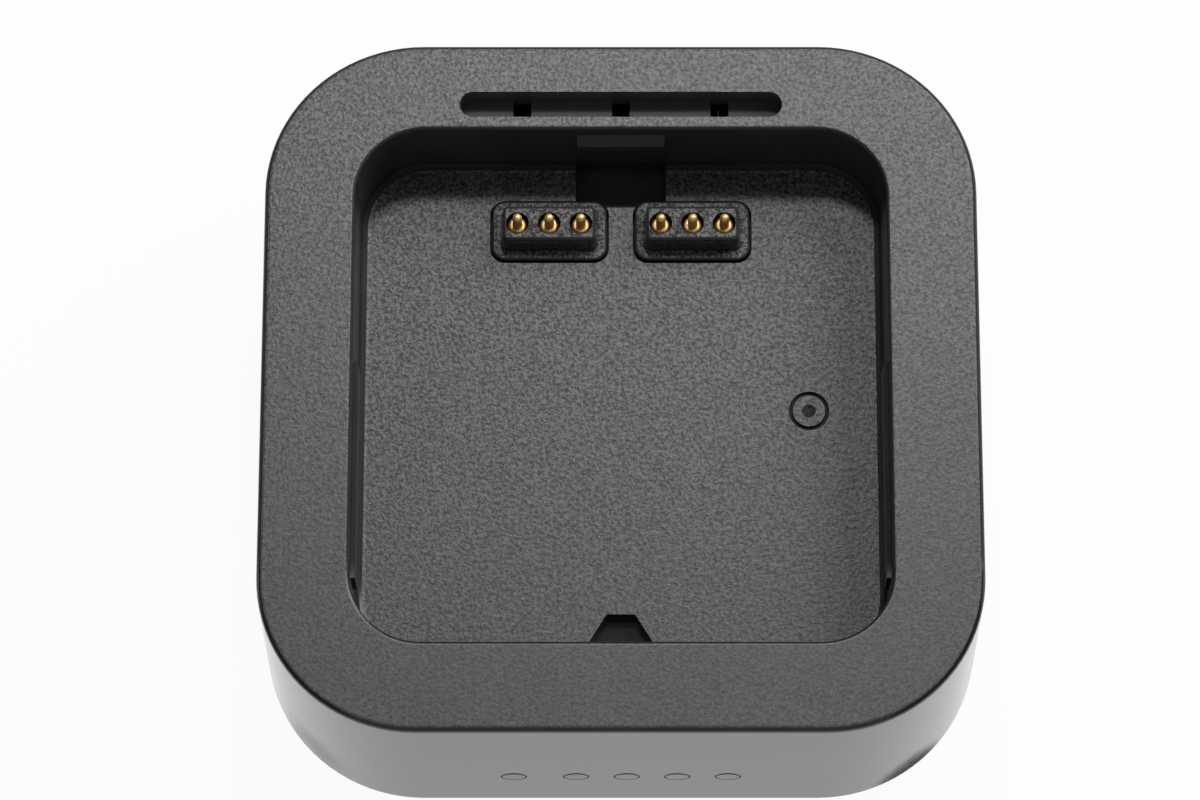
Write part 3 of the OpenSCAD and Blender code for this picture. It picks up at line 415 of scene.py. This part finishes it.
def laminate(name, mask, trace):
    """Circuit board: solder mask over copper tracks, with tinned pads."""
    s = Shader(name)
    runs = s.ramp(s.waves(1.7, "X", 1.2), 0.86, 0.93)
    rows = s.ramp(s.waves(2.1, "Y", 1.2), 0.88, 0.94)
    area = s.ramp(s.noise(6, 1, 0.4), 0.47, 0.53)
    track = s.math("MAXIMUM", s.math("MULTIPLY", runs, area),
                   s.math("MULTIPLY", rows, s.math("SUBTRACT", 1, area)))
    pad = s.ramp(s.cells(3.1), 0.12, 0.16, 1, 0)
    weave = s.noise(0.7, 2, 0.5, shift=1)
    color = s.mix(track, mask, trace)
    color = s.mix(pad, color, (0.5, 0.5, 0.5))
    return s.set(color=color, metal=s.math("MULTIPLY", pad, 0.9), rough=s.ramp(weave, 0.3, 0.7, 0.28, 0.4),
                 coat=0.3, coat_rough=0.15, normal=s.bump(s.math("MAXIMUM", track, pad), 0.02))


def wound(name, node, tone, turns):
    """Enamelled wire wound round a ring core."""
    s = Shader(name)
    turn = around(s, node)[1]
    wave = s.math("SINE", s.math("MULTIPLY", turn, math.tau * turns))
    turn_bump_and_shade = s.ramp(wave, -1, 1)
    # painted shade: the tone falls to 45 % in the creases between the turns
    color = s.mix(turn_bump_and_shade, tuple(c * 0.45 for c in tone), tone)
    return s.set(color=color, metal=0.85, rough=s.ramp(s.noise(1.5, 2), 0.3, 0.7, 0.25, 0.36),
                 normal=s.bump(turn_bump_and_shade, 0.25))


def sleeve(name, node, tone, axis="Z"):
    """Capacitor: shrink sleeve with a pale stripe, bare aluminium in the middle of its ends."""
    s = Shader(name)
    low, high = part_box(node)
    size = (high.x - low.x) / 2
    radius, turn = around(s, node, axis)
    along = s.math("ABSOLUTE", s.axis(s.normal, axis))
    end = s.math("MULTIPLY", s.ramp(along, 0.9, 0.95), s.ramp(radius, size * 0.76, size * 0.8, 1, 0))
    stripe = s.ramp(s.math("ABSOLUTE", s.math("SUBTRACT", turn, 0.18)), 0.055, 0.065, 1, 0)
    cloud = s.noise(3, 2, 0.5)
    color = s.mix(s.ramp(cloud, 0.3, 0.7), tuple(c * 0.85 for c in tone), tone)
    color = s.mix(stripe, color, (0.5, 0.52, 0.55))
    color = s.mix(end, color, (0.75, 0.76, 0.78))
    return s.set(color=color, metal=end, rough=s.ramp(cloud, 0.3, 0.7, 0.24, 0.34),
                 normal=s.bump(s.noise(0.8, 2, 0.5, shift=2), 0.012))


def tape(name):
    s = Shader(name)
    lap = s.waves(4.2, "X")
    edge = s.ramp(lap, 0.9, 0.97)
    cloud = s.noise(2.5, 2, 0.5)
    color = s.mix(s.ramp(cloud, 0.3, 0.7), (0.6, 0.4, 0.05), (0.72, 0.5, 0.08))
    color = s.mix(edge, color, (0.42, 0.27, 0.03))
    return s.set(color=color, rough=s.ramp(cloud, 0.3, 0.7, 0.2, 0.32), normal=s.bump(lap, 0.06), coat=0.3,
                 coat_rough=0.1)


def lamp_body(name, node):
    """Indicator LED: white body, with its yellow phosphor in the lens."""
    s = Shader(name)
    radius = around(s, node, "Y")[0]
    lens = s.ramp(radius, 0.7 * MM, 0.85 * MM, 1, 0)
    cloud = s.noise(0.6, 2, 0.5)
    color = s.mix(lens, s.mix(cloud, (0.72, 0.72, 0.68), (0.82, 0.82, 0.78)), (0.75, 0.62, 0.15))
    return s.set(color=color, rough=s.ramp(cloud, 0.3, 0.7, 0.3, 0.42), normal=s.bump(cloud, 0.01))


def six(stem):
    return [f"{stem}_{i}" for i in range(1, 7)]


BOARD_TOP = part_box("main_board")[1].z
BLOCK_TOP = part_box("contact_block_left")[1].z
COLLAR_HEIGHT = 0.7 * MM
COLLAR_TOP = FLOOR + COLLAR_HEIGHT
BLACK = (0.012, 0.012, 0.0125)

# places on the housing, in millimetres, as specks, scratches and the painted dark reflections take them
DUST = [
    (29.8, 2.8, 24.1, 0.3, 0.06), (27.8, -4.1, 24.1, 0.28, 0.05), (-17.0, 23.0, 24.2, 0.45, 0.12),
    (3.1, 38.9, 37.4, 0.4, 0.1), (-9.9, 38.7, 35.8, 0.35, 0.08), (30.2, 38.5, 25.7, 0.35, 0.03),
    (-20.4, -12.0, 24.1, 0.3, 0.03), (12.5, -20.6, 24.1, 0.28, 0.03),
]
SCRATCHES = [
    ((-18.7, 38.6, 29.2), (-14.9, 38.5, 26.2), 0.22, 0.012),
    ((-14.9, 38.5, 26.2), (-13.3, 38.4, 24.6), 0.22, 0.01),
    ((-13.3, 38.4, 24.6), (-11.5, 38.4, 25.1), 0.2, 0.008),
    ((-9.4, 38.6, 34.8), (-8.6, 38.6, 33.2), 0.2, 0.012),
]
# painted dark reflections at the bottom edge of the front corners, each (x, y, z, width, height, strength)
PAINTED_DARK_REFLECTIONS = [(42.3, -48, 0, 7.5, 11, 1), (-44.8, -46, 5, 9, 14, 0.24)]
GATE = (27.4, 0, 24.1, 1.0)  # centre and radius

# painted light that lightens shaded recesses: a box's low and high corners, in millimetres, and a strength
PAINTED_FILLS = [
    ((-24, 40, 33), (24, 44.5, 38.2), 0.075),       # vent slot
    ((-39, 30, 25.2), (39, 41, 38.2), 0.014),       # rear pocket wall
    ((-6.6, 36.5, 33.6), (6.6, 39.5, 36.2), 0.03),  # top of the catch
    ((-7, -41, 21), (7, -31, 23.9), 0.012),         # key notch
]
# painted light that lightens the shaded sides and fronts of the contact blocks
BLOCK_PAINTED_FILLS = [((-30, 10, 24.9), (30, 36, 28.2), 0.01)]
POCKET = ((-41, -41, 23.5), (41, 41, 39.5))

dress(moulded("housing_look", (TOP, FLOOR), marks=DUST, lines=SCRATCHES, dark_reflections=PAINTED_DARK_REFLECTIONS, painted_fills=PAINTED_FILLS,
              gate=GATE, inside=POCKET), "upper_housing")
dress(moulded("contact_look", (BLOCK_TOP, COLLAR_TOP), gain=2.2, bright=0.12, edge=(0.99, 0.999),
              painted_fills=BLOCK_PAINTED_FILLS), "contact_block_left", "contact_block_right")
dress(plastic("cover_look", BLACK, 0.5, 0.5, 0.03), "bottom_cover")
dress(plastic("foot_look", (0.01, 0.01, 0.01), 0.8, 0.35, 0.03),
      "foot_front_left", "foot_front_right", "foot_rear_left", "foot_rear_right")
dress(metal("screw_look", (0.55, 0.56, 0.58), 0.35),
      "case_screws", "contact_board_screws", "main_board_screws")
dress(gold(), *six("pin_barrel"), *six("pin_plunger"))
dress(metal("spring_look", (0.6, 0.6, 0.62), 0.22, 0.1), *six("pin_spring"))
dress(plastic("window_look", (0.02, 0.02, 0.021), 0.2, 1.5, 0.004), "light_guide")
dress(laminate("laminate_look", (0.008, 0.085, 0.03), (0.016, 0.13, 0.05)), "main_board", "indicator_board")
dress(plastic("black_board_look", (0.045, 0.045, 0.045), 0.5, 1.2, 0.01), "contact_board")
dress(plastic("header_look", (0.7, 0.67, 0.55), 0.4, 0.6, 0.01, metal_above=BOARD_TOP + 4 * MM),
      "link_header")
dress(plastic("inlet_look", (0.01, 0.01, 0.01), 0.35, 0.6, 0.01), "inlet_socket")
dress(metal("inlet_pin_look", (0.66, 0.65, 0.62), 0.2, 0.6), "inlet_pin_left", "inlet_pin_right")
dress(plastic("epoxy_look", (0.014, 0.014, 0.014), 0.5, 0.25, 0.015), "fuse", "bridge_rectifier")
dress(plastic("transistor_look", (0.014, 0.014, 0.014), 0.45, 0.25, 0.012,
              metal_below=BOARD_TOP + 1.4 * MM), "power_transistor")
dress(plastic("chip_look", (0.013, 0.013, 0.013), 0.5, 0.2, 0.01,
              metal_below=BOARD_TOP + 0.5 * MM), "control_chip")
dress(plastic("ferrite_look", (0.035, 0.035, 0.036), 0.6, 0.5, 0.03), "choke_core", "transformer_core")
dress(wound("winding_look", "choke_winding", (0.75, 0.32, 0.12), 44), "choke_winding")
dress(sleeve("input_sleeve_look", "input_capacitor", (0.012, 0.016, 0.04), "Y"), "input_capacitor")
for i in (1, 2):
    dress(sleeve(f"sleeve_look_{i}", f"output_capacitor_{i}", (0.01, 0.025, 0.02)), f"output_capacitor_{i}")
dress(plastic("bobbin_look", (0.6, 0.55, 0.4), 0.45, 0.7, 0.01), "transformer_bobbin")
dress(tape("tape_look"), "transformer_winding")
dress(metal("sink_look", (0.7, 0.71, 0.73), 0.35, 0.4, stretch=(6, 6, 0.3)), "heat_sink")
for i in range(1, 6):
    dress(lamp_body(f"led_look_{i}", f"indicator_led_{i}"), f"indicator_led_{i}")


def live_spring(i):
    """Stands for a contact pin's spring, with a copy of the same mesh, on the charger's body."""
    node = f"pin_spring_{i}"
    coil = bpy.data.objects.new(f"pin_coil_{i}", NODES[node].data.copy())
    scene.collection.objects.link(coil)
    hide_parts(node)
    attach(coil, "charger")
    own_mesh(coil)


for i in range(1, 7):
    live_spring(i)

# camera
IMAGE_WIDTH = 1200  # pixels of the photograph
FOCAL_PIXELS = 4903.3
SENSOR = 36
CAMERA_PLACE = (-0.00003, -0.21572, 0.70459)
CAMERA_TILT = 17.722  # degrees from straight down
CAMERA_SHIFT = (-0.0172, -0.0004)
camera_data = bpy.data.cameras.new("camera")
camera = bpy.data.objects.new("camera", camera_data)
scene.collection.objects.link(camera)
camera.location = CAMERA_PLACE
camera.rotation_euler = Euler((math.radians(CAMERA_TILT), 0, 0))
camera_data.sensor_width = SENSOR
camera_data.lens = FOCAL_PIXELS / IMAGE_WIDTH * SENSOR
camera_data.shift_x, camera_data.shift_y = CAMERA_SHIFT
camera_data.clip_start = 0.01
scene.camera = camera

# studio
scene.view_settings.view_transform = "Standard"


def softbox(name, tilt, turn, distance, size, level):
    """A round lamp aimed at the top face; a white surface that faces it gets that level, 1 being white.

    tilt is in degrees from the vertical, and turn in degrees from the rear.
    """
    lamp = bpy.data.lights.new(name, "AREA")
    lamp.shape = "DISK"
    lamp.size = size
    lamp.energy = level * (math.pi * distance) ** 2
    obj = bpy.data.objects.new(name, lamp)
    scene.collection.objects.link(obj)
    t, a = math.radians(tilt), math.radians(turn)
    obj.location = (distance * math.sin(t) * math.sin(a), distance * math.sin(t) * math.cos(a),
                    distance * math.cos(t) + TOP)
    obj.rotation_euler = (Vector((0, 0, TOP)) - obj.location).to_track_quat("-Z", "Y").to_euler()


# name, tilt, turn, distance, size, level
LAMPS = [
    ("key", 27.6, 0, 0.44, 0.055, 0.372),
    ("rear_right", 50, 50, 0.8, 0.5, 0.68),
    ("front", 60, 180, 0.9, 1.3, 0.12),
]
for lamp in LAMPS:
    softbox(*lamp)

WORLD_LEVEL = 0.12
world = bpy.data.worlds.new("studio")
scene.world = world
world.use_nodes = True
background = world.node_tree.nodes["Background"]
background.inputs["Color"].default_value = (1, 1, 1, 1)
background.inputs["Strength"].default_value = WORLD_LEVEL

FLOOR_HALF = 1.6
FLOOR_TONE = (0.9, 0.9, 0.9)
FLOOR_GLOW = 0.95  # share of plain white in what the camera and the reflections see; the rest is lit


def white_floor():
    """White ground that keeps a little of the object's shadow."""
    mesh = bpy.data.meshes.new("floor")
    corners = [(-1, -1), (1, -1), (1, 1), (-1, 1)]
    mesh.from_pydata([(x * FLOOR_HALF, y * FLOOR_HALF, 0) for x, y in corners], [], [(0, 1, 2, 3)])
    floor = bpy.data.objects.new("floor", mesh)
    scene.collection.objects.link(floor)
    s = Shader("floor_look")
    s.set(color=FLOOR_TONE, rough=0.7)
    path = s.add("ShaderNodeLightPath")
    seen = s.math("MAXIMUM", path.outputs["Is Camera Ray"],
                  s.math("MAXIMUM", path.outputs["Is Glossy Ray"], path.outputs["Is Transmission Ray"]))
    glow = s.add("ShaderNodeEmission")
    glow.inputs["Color"].default_value = (1, 1, 1, 1)
    glow.inputs["Strength"].default_value = 1
    mixed = s.add("ShaderNodeMixShader")
    s.feed(mixed.inputs[0], s.math("MULTIPLY", seen, FLOOR_GLOW))
    s.tree.links.new(s.bsdf.outputs[0], mixed.inputs[1])
    s.tree.links.new(glow.outputs[0], mixed.inputs[2])
    s.tree.links.new(mixed.outputs[0], s.tree.nodes["Material Output"].inputs["Surface"])
    mesh.materials.append(s.material)


white_floor()
